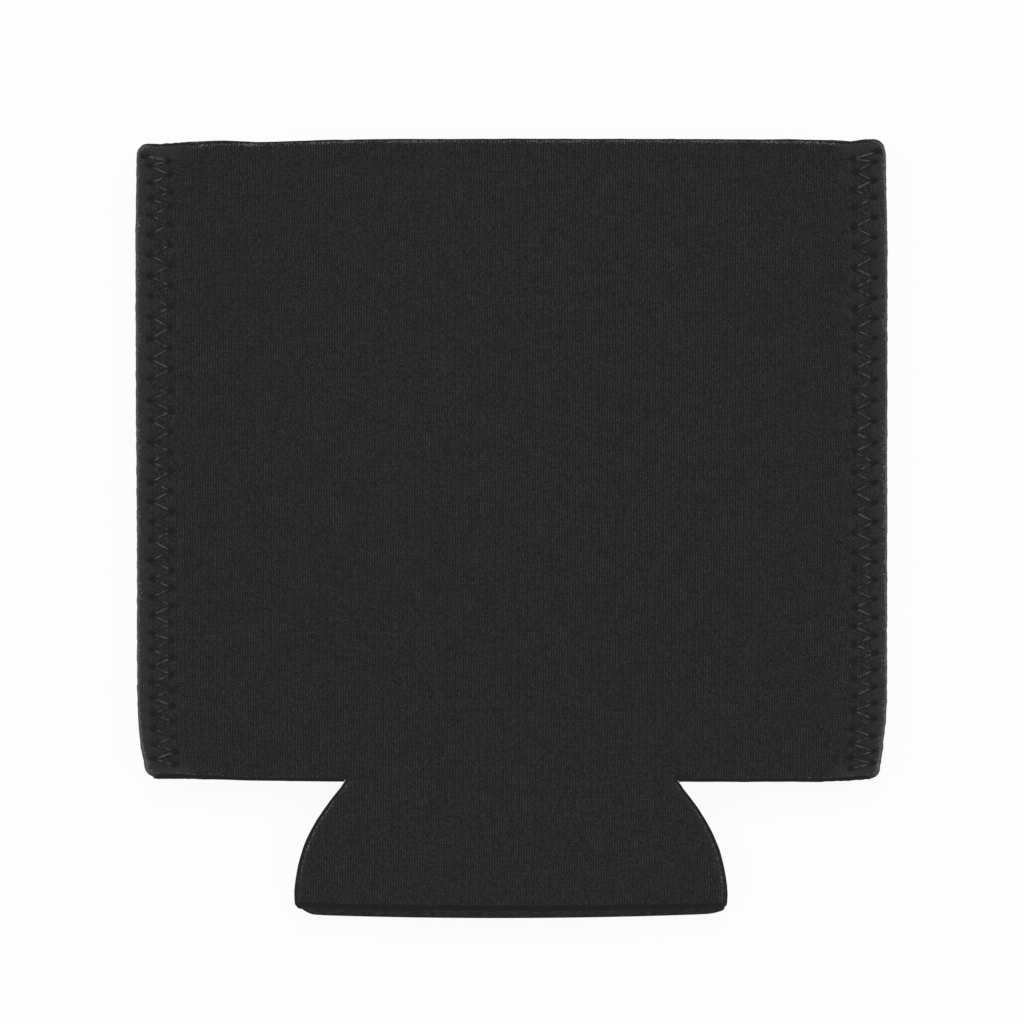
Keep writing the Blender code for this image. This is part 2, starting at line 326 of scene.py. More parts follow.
# How far the base's edge swells out past the drawn circle, by the distance from the fold, in mm.
FLANK_SWELL = ((0, 1.5, 4, 7, 10, 12.8, 14.3, 15.8, 18.7, 20),
               (0.0, 0.05, 0.27, 0.38, 0.42, 0.27, 0.12, -0.06, -0.4, -0.34))


def base_half_width(along):
    """Half the width of the round base, whose edge draws in a little at the fold and the neck."""
    out = along - FOLD_Y
    tuck = EDGE_TUCK * np.maximum(1 - out / EDGE_TUCK_REACH, 0.0) ** 2
    return np.sqrt(BASE_RADIUS**2 - out**2) - tuck + np.interp(out / MM, *FLANK_SWELL) * MM


def flank_inset(along):
    """How far the knit stops short of the base's cut edge, which opens as it nears the fold."""
    share = np.clip((along - FOLD_Y) / STRAP_RISE, 0, 1)
    return FLANK_INSET[0] + (FLANK_INSET[1] - FLANK_INSET[0]) * (1 - share) ** 1.3


def side_inset(height):
    """How far the knit stops short of a seam's edge, which opens where the edge draws in."""
    return SIDE_INSET[0] + (SIDE_INSET[1] - SIDE_INSET[0]) * edge_draw(height) / END_DRAW


def panel_half_width(height):
    """Half the width of the knit face at that height, with the rounded corners."""
    corner = 0.0
    for end, from_end in (("bottom", height), ("mouth", BODY_HEIGHT - height)):
        to_end = from_end - CUT_INSET[end]
        radius = CORNER_RADIUS[end] - SIDE_INSET[0] / 2
        short = np.clip(radius - to_end, 0, radius)
        corner = corner + radius - np.sqrt(radius**2 - short**2)
    return HALF_WIDTH - side_inset(height) - edge_draw(height) - corner


NECK_HALF_WIDTH = float(base_half_width(STRAP_Y))


def column_places(along, height, on_panel):
    """Distance from the middle of each column of the right half, on this row."""
    if not on_panel:
        half = base_half_width(along) - flank_inset(along)
        return np.concatenate([half * STRAP_SHARES, np.full(EDGE_COLUMN - WING_COLUMN, np.nan)])
    strap = (NECK_HALF_WIDTH - FLANK_INSET[0]) * STRAP_SHARES
    shoulder = SHOULDER_X - edge_draw(height)
    wing = strap[-1] + (shoulder - strap[-1]) * WING_SHARES
    seam = shoulder + (panel_half_width(height) - shoulder) * SEAM_SHARES
    return np.concatenate([strap, wing, seam])


half_rows = np.array([column_places(*row) for row in zip(ROW_Y, ROW_HEIGHT, ON_PANEL)])
SHEET_X = np.concatenate([-half_rows[:, :0:-1], half_rows], axis=1)
print("grid of the sheet:", SHEET_X.shape, "used:", int((~np.isnan(SHEET_X)).sum()))

# %% [markdown]
# ### What the stitches do to the foam
#
# A lockstitch squeezes the foam. Along the thread it presses a shallow groove, and at each needle
# hole it pulls a deep pit. The holes of the outer line also drag the edge down, as a small valley
# that runs out of the seam. We write those as heights taken off the foam, each a bell curve of the
# distance to the nearest hole or thread, which is quicker and steadier than simulating the pull.

# %% Dents of the seams
PIT_DEPTH = {"inner": 0.75 * MM, "outer": 0.7 * MM}
PIT_WIDTH = {"inner": (0.46 * MM, 0.42 * MM), "outer": (0.6 * MM, 0.34 * MM)}
PIT_STEEPNESS = 3.0
HOLLOW_DEPTH, HOLLOW_WIDTH = 0.14 * MM, 0.9 * MM  # the wider dip round each hole
VALLEY_DEPTH, VALLEY_WIDTH = 0.2 * MM, 0.36 * MM  # from an outer hole to the edge
WRINKLE_DEPTH, WRINKLE_REACH, WRINKLES = 0.07 * MM, 1.3 * MM, 7  # creases that run into a hole
GROOVE_DEPTH, GROOVE_WIDTH = 0.26 * MM, 0.34 * MM


def bell(distance):
    return np.exp(-(distance**2))


def pits(across, height, holes):
    """How deep the pits and valleys are at these places of one seam."""
    depth = np.zeros_like(across)
    for hole_across, hole_height, outer, pull in holes:
        line = "outer" if outer else "inner"
        out, up = across - hole_across, height - hole_height
        wide, tall = PIT_WIDTH[line]
        away = np.hypot(out / wide, up / tall)
        hole = PIT_DEPTH[line] * np.exp(-(away**PIT_STEEPNESS))
        hole = hole + HOLLOW_DEPTH * bell(np.hypot(out, up) / HOLLOW_WIDTH)
        if outer:
            hole = hole + VALLEY_DEPTH * bell(up / VALLEY_WIDTH) * np.clip(out / wide, 0, 1)
        creases = np.maximum(np.cos(WRINKLES * np.arctan2(up, out) + hole_height / MM), 0)
        hole = hole + WRINKLE_DEPTH * bell(np.hypot(out, up) / WRINKLE_REACH) * creases
        depth = np.maximum(depth, pull * hole)
    return depth


def thread_distance(across, height, holes):
    """Distance of these places of one seam from the nearest stretch of thread."""
    nearest = np.full_like(across, 1.0)
    for start, end in zip(holes[:, :2], holes[1:, :2]):
        run, out, up = end - start, across - start[0], height - start[1]
        share = np.clip((out * run[0] + up * run[1]) / (run @ run), 0, 1)
        nearest = np.fmin(nearest, np.hypot(out - share * run[0], up - share * run[1]))
    return nearest


# %% [markdown]
# ### Thickness of the foam
#
# Away from the seams the foam has its full three millimetres. Over the shoulder it thins to what
# the stitches leave, and towards the edge it thins again. The dents come off on top.

# %% Thickness from the shoulder to the edge
LOFT_IN_SEAM = 0.86
LOFT_AT_EDGE = 0.7
LOFT_UNEVENNESS = 0.05
LUMP_LENGTH = 2.4 * MM


def smooth(share):
    """0 to 1 as share goes from 0 to 1, level at both ends."""
    share = np.clip(share, 0.0, 1.0)
    return share * share * (3 - 2 * share)


def lumps(height, seed):
    """A gentle, seeded unevenness from -1 to 1 along a seam."""
    steps = np.random.default_rng(seed).uniform(-1, 1, int(BODY_HEIGHT / LUMP_LENGTH) + 2)
    return np.interp(height / LUMP_LENGTH, np.arange(len(steps)), steps)


def seam_loft(across, height, seed):
    """Share of its thickness that the foam keeps, at this distance from the middle."""
    undrawn = across + edge_draw(height)
    thin = smooth((undrawn - SHOULDER_X) / SHOULDER)
    edge = smooth((undrawn - OUTER_NEEDLE_X) / (HALF_WIDTH - OUTER_NEEDLE_X))
    loft = 1 - (1 - LOFT_IN_SEAM) * thin - (LOFT_IN_SEAM - LOFT_AT_EDGE) * edge
    return loft + LOFT_UNEVENNESS * thin * lumps(height, seed)


def foam_height(panel, x, height):
    """Thickness of the foam on one panel at places to the left or right of its middle."""
    thickness = np.full_like(x, FOAM_THICKNESS)
    for seed, (side, sign) in enumerate(SIDES.items()):
        here = x * sign > SHOULDER_X - END_DRAW
        across, up = x[here] * sign, height[here]
        loft = seam_loft(across, up, seed + 2 * (panel == FRONT))
        groove = GROOVE_DEPTH * bell(thread_distance(across, up, HOLES[side]) / GROOVE_WIDTH)
        dents = pits(across, up, HOLES[side]) + groove
        thin = smooth((across + edge_draw(up) - SHOULDER_X) / SHOULDER)
        thickness[here] = FOAM_THICKNESS * loft - dents * np.minimum(thin * 3, 1)
    return thickness


# %% [markdown]
# ### Folding it
#
# The back panel lies flat on the table and the front one above it. They touch, all but a hair, in
# the seams and at the strap, and stand apart in the pocket, since foam that was sewn as a tube
# never goes quite flat. Round the fold the sheet turns on a hair-thin inner radius, and its outside
# is pressed to a blunt wedge with a sharp crease. That wedge is a superellipse: a power of 2 gives
# a round fold, and a power near 1 a chamfer.

# %% Inner and outer faces of the folded sheet
FOLD_POWER = 1.25
MOUTH_DIP_REACH = 14.0 * MM
# How far each panel's mouth dips below the straight line, by the distance from the middle, in mm.
FRONT_DIP = ((-55, -51.5, -47, -43, -37, -30, -20, 0, 28, 41, 46, 48.5, 52, 55),
             (1.0, 0.95, 0.75, 0.5, 0.6, 0.42, 0.22, 0.15, 0.2, 0.15, 0.25, 0.6, 0.42, 0.4))
BACK_DIP = ((-55, -51.5, -47, -43, -37, -30, -20, 0, 28, 47, 50, 52, 55),
            (0.66, 0.72, 0.36, 0.18, 0.45, 0.28, 0.1, 0.0, 0.1, 0.1, 0.34, 0.02, 0.1))
# How far the bottom edge rises, by the distance from the middle, in mm.
BOTTOM_RISE = ((-54, -52, -46, -41, -37, -25, 45, 49, 51, 53),
               (0.6, 0.44, 0.4, 0.25, 0.15, 0.03, -0.02, 0.16, 0.27, 0.45))
BOTTOM_RISE_REACH = 10.0 * MM  # how far up that is felt
# How much further in each side lies than it was drawn, by the height above the strap, in mm.
SIDE_DRAW = {
    "left": ((0, 1.4, 2.5, 3.7, 5, 19, 37, 54, 80, 89, 94),
             (0.4, 0.43, 0.45, 0.34, 0.26, 0.18, 0.17, 0.04, -0.05, 0.1, 0.1)),
    "right": ((0, 2.5, 5, 6, 9, 80, 89, 92, 94),
              (0.12, 0.25, 0.18, 0.22, 0.06, 0.0, 0.2, 0.2, 0.3)),
}
SIDE_DRAW_FROM, SIDE_DRAW_REACH = 28.0 * MM, 20.0 * MM
# How much further up the knit stops at the bottom corners, by the distance from the middle, in mm.
CUT_LIFT = ((-54, -52, -49, -46, -38, -26.2, -25, -24.3, -23.7, 23.7, 24.3, 25, 26.2, 46, 50, 54),
            (0.25, 0.32, 0.3, 0.06, 0.0, 0.0, 0.4, 0.5, 0.0, 0.0, 0.5, 0.4, 0.0, 0.0, 0.1, 0.12))
CUT_LIFT_REACH = 2.0 * MM


def layer_gap(x, height):
    """Space between the two panels' inner faces."""
    across = smooth((INNER_NEEDLE_X - np.abs(x)) / (INNER_NEEDLE_X - STRAP_HALF_WIDTH))
    return LAYER_GAP + (POCKET_GAP - LAYER_GAP) * across * smooth(height / POCKET_RISE)


def settle(panel, x, height):
    """How far the soft sheet strays sideways and along from where it was drawn."""
    dip = np.interp(x / MM, *(FRONT_DIP if panel == FRONT else BACK_DIP)) * MM
    along = -dip * smooth((height - BODY_HEIGHT + MOUTH_DIP_REACH) / MOUTH_DIP_REACH)
    along = along + np.interp(x / MM, *BOTTOM_RISE) * MM * smooth(1 - height / BOTTOM_RISE_REACH)
    left, right = (np.interp(height / MM, *SIDE_DRAW[side]) for side in SIDES)
    draw = np.where(x < 0, left, right)
    near_side = smooth((np.abs(x) - SIDE_DRAW_FROM) / SIDE_DRAW_REACH)
    return -np.sign(x) * draw * MM * near_side, along


def cut_lift(x):
    """How much further up than usual the knit stops at the bottom edge."""
    return np.interp(x / MM, *CUT_LIFT) * MM


def crease_rise(x):
    """How far the crease curves up from a straight line."""
    return CREASE_RISE * (x / BASE_RADIUS) ** 2


def fold_depth(x):
    """From the crease to the end of the fold, at this distance from the middle."""
    bow = FOLD_BOW * ((x - FOLD_BOW_MIDDLE) / BASE_RADIUS) ** 2
    into = np.maximum(1 - (base_half_width(FOLD_Y) - np.abs(x)) / FOLD_CORNER_WIDTH, 0.0)
    return FOLD_DEPTH - bow - np.where(x < 0, FOLD_CORNER["left"], FOLD_CORNER["right"]) * into**2


def fold_radius(turn, x):
    """From the fold's middle to its outside, round the blunt wedge."""
    out = np.abs(math.cos(math.radians(turn))) / fold_depth(x)
    up = abs(math.sin(math.radians(turn))) / (FOAM_THICKNESS + FOLD_INNER_RADIUS)
    return (out**FOLD_POWER + up**FOLD_POWER) ** (-1 / FOLD_POWER)


def fold_row(turn, x):
    """Inner and outer points of one row round the fold."""
    cos, sin = math.cos(math.radians(turn)), math.sin(math.radians(turn))
    middle_z = BACK_INNER_Z + FOLD_INNER_RADIUS
    faces = []
    crease = CREASE_Y + crease_rise(x) * smooth(abs(sin))
    for radius in (np.full_like(x, FOLD_INNER_RADIUS), fold_radius(turn, x)):
        spots = [x + FOLD_STRAY, crease - radius * cos, middle_z + radius * sin]
        faces.append(np.stack(spots, axis=-1))
    return faces


def panel_row(panel, y, x):
    """Inner and outer points of one row of a panel or of the flat part of the base."""
    height = np.full_like(x, y - STRAP_Y)
    inner_z = BACK_INNER_Z + (layer_gap(x, height) if panel == FRONT else 0 * x)
    outer_z = inner_z + panel * foam_height(panel, x, height)
    aside, along = settle(panel, x, height)
    if y > STRAP_Y:
        along = along + cut_lift(x) * smooth(1 - (height - CUT_INSET["bottom"]) / CUT_LIFT_REACH)
    else:
        from_crease = (y - CREASE_Y) / CREASE_RISE_REACH
        along = along + crease_rise(x) * smooth(1 - from_crease)
        aside = aside + FOLD_STRAY * smooth((STRAP_Y - y) / (STRAP_Y - CREASE_Y))
    return [np.stack([x + aside, y + along, z], axis=-1) for z in (inner_z, outer_z)]


faces = [fold_row(turn, x) if abs(turn) < 90 else panel_row(panel, y, x)
         for panel, y, turn, x in zip(ROW_PANEL, ROW_Y, ROW_TURN, SHEET_X)]
INNER = np.array([row[0] for row in faces])
OUTER = np.array([row[1] for row in faces])
print("top of the front panel, mm:", round(float(np.nanmax(OUTER[..., 2])) / MM, 2))

# %% [markdown]
# ### The cut edge
#
# A die shears the foam, so the edge is a wall: knit face, then black foam, then the inner face.
# The knit stops short of the full outline and the wall swells out to it. So we walk once round the
# sheet's rim and set a few rings of points between the two faces. In the sewn sides the edge is
# squeezed round. At the mouth and the base it is a slanted cut.

# %% Walk round the rim
LAST_ROW, LAST_COLUMN = SHEET_X.shape[0] - 1, SHEET_X.shape[1] - 1
LEFT_STRAP, RIGHT_STRAP = EDGE_COLUMN - WING_COLUMN, EDGE_COLUMN + WING_COLUMN
panel_rows = np.flatnonzero(ON_PANEL)
BACK_BOTTOM = panel_rows[ROW_PANEL[panel_rows] == BACK].max()
FRONT_BOTTOM = panel_rows[ROW_PANEL[panel_rows] == FRONT].min()
# The sheet's corners in order, each with the kind of edge that leads on from it.
SHEET_CORNERS = [
    (0, LAST_COLUMN, "side"), (BACK_BOTTOM, LAST_COLUMN, "bottom"),
    (BACK_BOTTOM, RIGHT_STRAP, "flank"), (FRONT_BOTTOM, RIGHT_STRAP, "bottom"),
    (FRONT_BOTTOM, LAST_COLUMN, "side"), (LAST_ROW, LAST_COLUMN, "mouth"),
    (LAST_ROW, 0, "side"), (FRONT_BOTTOM, 0, "bottom"),
    (FRONT_BOTTOM, LEFT_STRAP, "flank"), (BACK_BOTTOM, LEFT_STRAP, "bottom"),
    (BACK_BOTTOM, 0, "side"), (0, 0, "mouth"),
]


def steps(start, stop):
    """Whole numbers from start up or down to stop, without stop."""
    return range(start, stop, 1 if stop > start else -1)


def rim_places():
    """(row, column, kind of edge) all the way round the sheet."""
    places = []
    for (row, column, kind), (next_row, next_column, _) in zip(
            SHEET_CORNERS, SHEET_CORNERS[1:] + SHEET_CORNERS[:1]):
        places += [(passed, column, kind) for passed in steps(row, next_row)]
        places += [(row, passed, kind) for passed in steps(column, next_column)]
    return places


RIM = rim_places()
RIM_AT = tuple(np.array([place[:2] for place in RIM]).T)
RIM_KIND = np.array([place[2] for place in RIM])
print("points round the rim:", len(RIM))

# %% Rings of the cut edge
# Each ring: how far out it stands, as a share of the inset, and how deep, as a share of the foam.
ROUNDED = [(0.03, 0.008), (0.45, 0.11), (0.82, 0.23), (1.0, 0.42), (1.02, 0.72), (0.9, 0.94)]
SLANTED = [(0.03, 0.01), (0.35, 0.1), (0.68, 0.25), (0.9, 0.48), (1.0, 0.74), (0.93, 0.95)]
INNER_EDGE_INSET = 0.1 * MM
ROUGHNESS_OF_CUT = 0.045 * MM
SEWN_FROM = 0.65 * MM  # above the bottom edge, where the squeezed side begins


def rolling_mean(values, width):
    """The mean of each value and its neighbours round the rim."""
    reach = range(-width, width + 1)
    return np.mean([np.roll(values, step, axis=0) for step in reach], axis=0)


def outward_directions():
    """Which way is out of the sheet, at each point of the rim."""
    inner, outer = INNER[RIM_AT], OUTER[RIM_AT]
    along = np.roll(inner, -1, axis=0) - np.roll(inner, 1, axis=0)
    through = rolling_mean(outer - inner, 2)
    out = np.cross(along, through)
    return out / np.linalg.norm(out, axis=1, keepdims=True)


def rim_insets():
    """How far out the full outline is from the knit face, at each point of the rim."""
    flank, side = flank_inset(ROW_Y[RIM_AT[0]]), side_inset(ROW_HEIGHT[RIM_AT[0]])
    ends = np.where(RIM_KIND == "mouth", CUT_INSET["mouth"], CUT_INSET["bottom"])
    inset = np.where(RIM_KIND == "flank", flank, np.where(RIM_KIND == "side", side, ends))
    lift = np.where(RIM_KIND == "bottom", cut_lift(SHEET_X[RIM_AT]), 0.0)
    return rolling_mean(inset, 2) + lift


def edge_rings():
    """Points of each ring of the cut edge, from the knit face to the inner face."""
    out, inset = outward_directions(), rim_insets()
    inner, outer = INNER[RIM_AT], OUTER[RIM_AT]
    sewn = (RIM_KIND == "side") & (ROW_HEIGHT[RIM_AT[0]] > SEWN_FROM)
    squeezed = rolling_mean(sewn.astype(float), 4)[:, None]
    rough = np.random.default_rng(5)
    rings = []
    for rounded, slanted in zip(ROUNDED, SLANTED):
        share = np.array(rounded) * squeezed + np.array(slanted) * (1 - squeezed)
        bite = rolling_mean(rough.normal(0, ROUGHNESS_OF_CUT, len(RIM)), 1)
        reach = share[:, :1] * (inset + bite)[:, None]
        rings.append(outer + (inner - outer) * share[:, 1:] + out * reach)
    rings.append(inner + out * (inset - INNER_EDGE_INSET)[:, None])
    return rings, squeezed[:, 0]


RINGS, SQUEEZED = edge_rings()
print("cut edge reaches, mm:", [round(float(v) / MM, 2) for v in RINGS[4].max(axis=0)])

# %% [markdown]
# ### Joining the faces
#
# A block of the grid becomes one face that takes in every kept point on its rim. That is how the
# fine seam strips meet the coarse middle with no gap and no T-junction.

# %% Faces of the grid
KEEP_EVERY = 5
INNER_SEAM_STEP = 8


def kept_rows():
    """Rows that run right across: all of the base and fold, and every few of the panels'."""
    ends = [0, 3, 6, LAST_ROW - 6, LAST_ROW - 3, LAST_ROW]
    ends += [BACK_BOTTOM - 6, BACK_BOTTOM - 3, FRONT_BOTTOM + 3, FRONT_BOTTOM + 6]
    base = range(BACK_BOTTOM, FRONT_BOTTOM + 1)
    inside = [row for row in range(0, LAST_ROW, KEEP_EVERY)
              if 9 < row < BACK_BOTTOM - 8 or FRONT_BOTTOM + 8 < row < LAST_ROW - 9]
    return sorted({*ends, *base, *inside})


def block_faces(index, row_cuts, column_cuts):
    """One face for each block between neighbouring cuts, through every point on its rim."""
    found = []
    for top, bottom in zip(row_cuts, row_cuts[1:]):
        for left, right in zip(column_cuts, column_cuts[1:]):
            rim = [(top, column) for column in range(left, right)]
            rim += [(row, right) for row in range(top, bottom)]
            rim += [(bottom, column) for column in range(right, left, -1)]
            rim += [(row, left) for row in range(bottom, top, -1)]
            found.append([index[place] for place in rim if index[place] >= 0])
    return found


def numbered(kept, first):
    """A grid of vertex numbers, counted from first, with -1 where no point is kept."""
    index = np.full(kept.shape, -1)
    index[kept] = first + np.arange(kept.sum())
    return index


ROWS = kept_rows()
BACK_ROWS = [row for row in ROWS if row <= BACK_BOTTOM]
FRONT_ROWS = [row for row in ROWS if row >= FRONT_BOTTOM]
BASE_GRID_ROWS = [row for row in ROWS if BACK_BOTTOM <= row <= FRONT_BOTTOM]
MIDDLE_COLUMNS = list(range(SEAM_COLUMNS, LAST_COLUMN - SEAM_COLUMNS + 1))
STRAP_GRID_COLUMNS = list(range(LEFT_STRAP, RIGHT_STRAP + 1))
LEFT_SEAM = list(range(SEAM_COLUMNS + 1))
RIGHT_SEAM = list(range(LAST_COLUMN - SEAM_COLUMNS, LAST_COLUMN + 1))

used = ~np.isnan(SHEET_X)
crossing = np.isin(np.arange(LAST_ROW + 1), ROWS)[:, None]
in_seam = np.abs(np.arange(LAST_COLUMN + 1) - EDGE_COLUMN) >= SEAM_COLUMN
outer_index = numbered(used & (crossing | in_seam[None, :]), 0)
INNER_SEAMS = [*LEFT_SEAM[::INNER_SEAM_STEP], *RIGHT_SEAM[::INNER_SEAM_STEP]]
INNER_COLUMNS = sorted({*MIDDLE_COLUMNS, *INNER_SEAMS})
inner_kept = used & crossing & np.isin(np.arange(LAST_COLUMN + 1), INNER_COLUMNS)[None, :]
inner_kept[RIM_AT] = False
inner_index = numbered(inner_kept, outer_index.max() + 1)

# %% Build the sleeve's mesh
first_ring = inner_index.max() + 1
ring_index = first_ring + np.arange(len(RINGS) * len(RIM)).reshape(len(RINGS), -1)
inner_index[RIM_AT] = ring_index[-1]

outer_faces = []
for rows in (BACK_ROWS, FRONT_ROWS):
    outer_faces += block_faces(outer_index, rows, MIDDLE_COLUMNS)
    every_row = list(range(rows[0], rows[-1] + 1))
    for columns in (LEFT_SEAM, RIGHT_SEAM):
        outer_faces += block_faces(outer_index, every_row, columns)
outer_faces += block_faces(outer_index, BASE_GRID_ROWS, STRAP_GRID_COLUMNS)

inner_faces = block_faces(inner_index, BASE_GRID_ROWS, STRAP_GRID_COLUMNS)
for rows in (BACK_ROWS, FRONT_ROWS):
    inner_faces += block_faces(inner_index, rows, INNER_COLUMNS)

edge_faces = []
levels = [outer_index[RIM_AT], *ring_index]
for upper, lower in zip(levels, levels[1:]):
    following, below = np.roll(upper, -1), np.roll(lower, -1)
    edge_faces += np.stack([upper, lower, below, following], axis=1).tolist()

points = np.concatenate([OUTER[outer_index >= 0], INNER[inner_kept], *RINGS])
face_list = outer_faces + [face[::-1] for face in inner_faces] + edge_faces
sleeve_mesh = bpy.data.meshes.new("sleeve")
sleeve_mesh.from_pydata(points.tolist(), [], face_list)
print("sleeve:", len(points), "points,", sum(len(face) - 2 for face in face_list), "triangles")

# %% [markdown]
# ### What the materials need to know
#
# The knit follows the sheet, not the room: its ribs run round the fold with the cloth. So each
# point carries its place on the flat sheet. It also carries how near it is to the cut edge, and
# how far into the seam, since the knit is stretched and fuzzier there.

# %% Notes on each point of the sheet
EDGE_NOTE_REACH = 3.0 * MM

centre_line = OUTER[:, EDGE_COLUMN]
row_lengths = np.linalg.norm(np.diff(centre_line, axis=0), axis=1)
ROW_ALONG = np.concatenate([[0.0], np.cumsum(row_lengths)])
NOTHING = 0 * SHEET_X  # nothing at every grid place, and no number outside the sheet
FLAT = np.stack([SHEET_X, ROW_ALONG[:, None] + NOTHING, NOTHING], axis=-1)
ACROSS = np.abs(SHEET_X)
UP = ROW_HEIGHT[:, None] + NOTHING
FROM_SIDE = np.nanmax(ACROSS, axis=1)[:, None] - ACROSS
PANEL_PLACE = ON_PANEL[:, None]


def edge_distances():
    """Distance of each grid place from each kind of cut edge, or a metre where it has none."""
    return {
        "side": np.where(PANEL_PLACE, FROM_SIDE, 1.0),
        "flank": np.where(PANEL_PLACE, 1.0, FROM_SIDE),
        "mouth": BODY_HEIGHT - CUT_INSET["mouth"] - UP,
        "bottom": np.where(PANEL_PLACE & (ACROSS > NECK_HALF_WIDTH), UP - CUT_INSET["bottom"], 1.0),
    }


FLANK_STRETCH, FLANK_STRETCH_REACH = 0.7, 0.9 * MM


def seam_share():
    """0 in the plain panel to 1 between the needle lines, and some along the base's edge."""
    undrawn = ACROSS + edge_draw(UP)
    flank = FLANK_STRETCH * smooth(1 - FROM_SIDE / FLANK_STRETCH_REACH)
    return np.where(PANEL_PLACE, smooth((undrawn - SHOULDER_X) / SHOULDER), flank)


FRAY = {"mouth": 1.3, "bottom": 0.6, "flank": 0.85, "side": 0.75}
FRAY_REACH = {"mouth": 0.62 * MM, "bottom": 0.4 * MM, "flank": 0.4 * MM, "side": 0.9 * MM}
SEAM_FRAY = 0.5  # how much less the mouth frays where it is sewn


def fray():
    """How thick the pale broken fibres are at each grid place: 0 is none."""
    thick = {kind: FRAY[kind] * np.clip(1 - away / FRAY_REACH[kind], 0, 1)
             for kind, away in edge_distances().items()}
    thick["mouth"] = thick["mouth"] * (1 - SEAM_FRAY * seam_share())
    return np.max(list(thick.values()), axis=0)


# Painted shadow: a dark line just below each thread, and painted shade in a patch beside the neck.
GROOVE_DARK, GROOVE_DARK_WIDTH, GROOVE_DARK_SIDE = 0.6, 0.17 * MM, 0.2 * MM
NECK_SHADE = (0.9 * MM, 1.7 * MM, 0.8 * MM)  # how far out its middle is, its width and its height


def painted_shade_note():
    """How much painted shade each place gets: round the fold, just below a thread or beside the
    neck.
    """
    dark = np.where(np.abs(ROW_TURN) < 90, 1.0, 0.0)[:, None] + NOTHING
    dark[np.abs(ROW_Y - CREASE_Y) < 0.01 * MM] = 1.0
    for side, sign in SIDES.items():
        below = thread_distance(SHEET_X * sign, UP + GROOVE_DARK_SIDE, HOLES[side])
        line = GROOVE_DARK * bell(below / GROOVE_DARK_WIDTH)
        dark = np.fmax(dark, np.where(PANEL_PLACE, line, 0.0))
    beside_neck = (ACROSS - NECK_HALF_WIDTH - NECK_SHADE[0]) / NECK_SHADE[1]
    neck = bell(np.hypot(beside_neck, UP / NECK_SHADE[2]))
    return np.fmax(dark, np.where(PANEL_PLACE, neck, 0.0))


HOLE_SHADE_SIZE = (0.68, 0.44)  # for any hole, and more by how hard the thread pulls


def hole_shade_note():
    """Where needle holes are painted black as shade: 1 in a hole's middle, 0 on its rim, -1 well
    outside.
    """
    inside = -1.0 + NOTHING
    for side, sign in SIDES.items():
        for across, height, outer, pull in HOLES[side]:
            wide, tall = PIT_WIDTH["outer" if outer else "inner"]
            size = HOLE_SHADE_SIZE[0] + HOLE_SHADE_SIZE[1] * pull
            away = np.hypot((SHEET_X * sign - across) / wide, (UP - height) / tall) / size
            inside = np.fmax(inside, np.where(PANEL_PLACE, 1 - away, -1.0))
    return inside


WORN_FROM, WORN_FULL = 78, 64  # the fold is worn grey from the one turn to the other, in degrees
WORN_FLANK, WORN_FLANK_REACH = 0.6, 13.0 * MM  # and the base's cut edge, less so by the strap

worn_fold = smooth((WORN_FROM - np.abs(ROW_TURN)) / (WORN_FROM - WORN_FULL))[:, None] + NOTHING
near_fold = smooth(1 - (ROW_Y[RIM_AT[0]] - CREASE_Y) / WORN_FLANK_REACH)
worn_rim = np.where(RIM_KIND == "flank", WORN_FLANK * near_fold, 0.0)

INSIDE_PAINTED_SHADE = 0.6  # painted shade on the inner face, which lies in the pocket's shadow
ring_count = len(RINGS)
ring_depths = [np.full(len(RIM), -(level + 1) / ring_count) for level in range(ring_count - 1)]
ring_depths.append(np.zeros(len(RIM)))  # the last ring is the rim of the inner face
near_edge = np.clip(np.min(list(edge_distances().values()), axis=0), 0, EDGE_NOTE_REACH) / MM
NOTES = {  # what each note says on the outer face, on the inner face and on the rings
    "flat_place": (FLAT, FLAT, [FLAT[RIM_AT]] * ring_count),
    "edge_distance": (near_edge, near_edge, ring_depths),
    "seam_share": (seam_share(), NOTHING, [SQUEEZED] * ring_count),
    "fray": (fray(), NOTHING, [fray()[RIM_AT]] * ring_count),
    "shade": (painted_shade_note(), INSIDE_PAINTED_SHADE + NOTHING, [0 * SQUEEZED] * ring_count),
    "hole": (hole_shade_note(), NOTHING - 1, [0 * SQUEEZED - 1] * ring_count),
    "worn": (worn_fold, NOTHING, [worn_rim] * ring_count),
}


def note_points(mesh, name, values):
    """Stores a number or a place for each point of the mesh under that name."""
    kind, field = ("FLOAT", "value") if values.ndim == 1 else ("FLOAT_VECTOR", "vector")
    attribute = mesh.attributes.new(name, kind, "POINT")
    attribute.data.foreach_set(field, np.ascontiguousarray(values, np.float32).ravel())


for name, (on_outer, on_inner, on_rings) in NOTES.items():  # in the order of the mesh's points
    values = [on_outer[outer_index >= 0], on_inner[inner_kept], *on_rings]
    note_points(sleeve_mesh, name, np.concatenate(values))
print("sheet along its middle, mm:", round(float(ROW_ALONG[-1]) / MM, 1))

# %% [markdown]
# ## The knit
#
# The face is a fine jersey knit: upright ribs, called wales, of small V-shaped stitches. At four
# tenths of a millimetre a rib it is far too fine to model, so a few lines of arithmetic on the
# flat place draw one stitch, and the bump and the colour both follow it. Each strand also gets its
# own small change of shade, and slow noise mottles the whole cloth, as on the real thing.

# %% Helpers for node arithmetic
COLOUR_SHARE, COLOUR_START, COLOUR_END, COLOUR_MADE = 0, 6, 7, 2  # sockets of a mix node


def add_node(tree, kind, inputs=(), **settings):
    """A new node with those settings, its inputs set or linked in their order or by name."""
    node = tree.nodes.new(kind)
    for name, value in settings.items():
        setattr(node, name, value)
    for socket, value in inputs.items() if isinstance(inputs, dict) else enumerate(inputs):
        if isinstance(value, bpy.types.NodeSocket):
            tree.links.new(value, node.inputs[socket])
        elif value is not None:
            node.inputs[socket].default_value = value
    return node


def calculate(tree, operation, *values):
    return add_node(tree, "ShaderNodeMath", values, operation=operation).outputs[0]


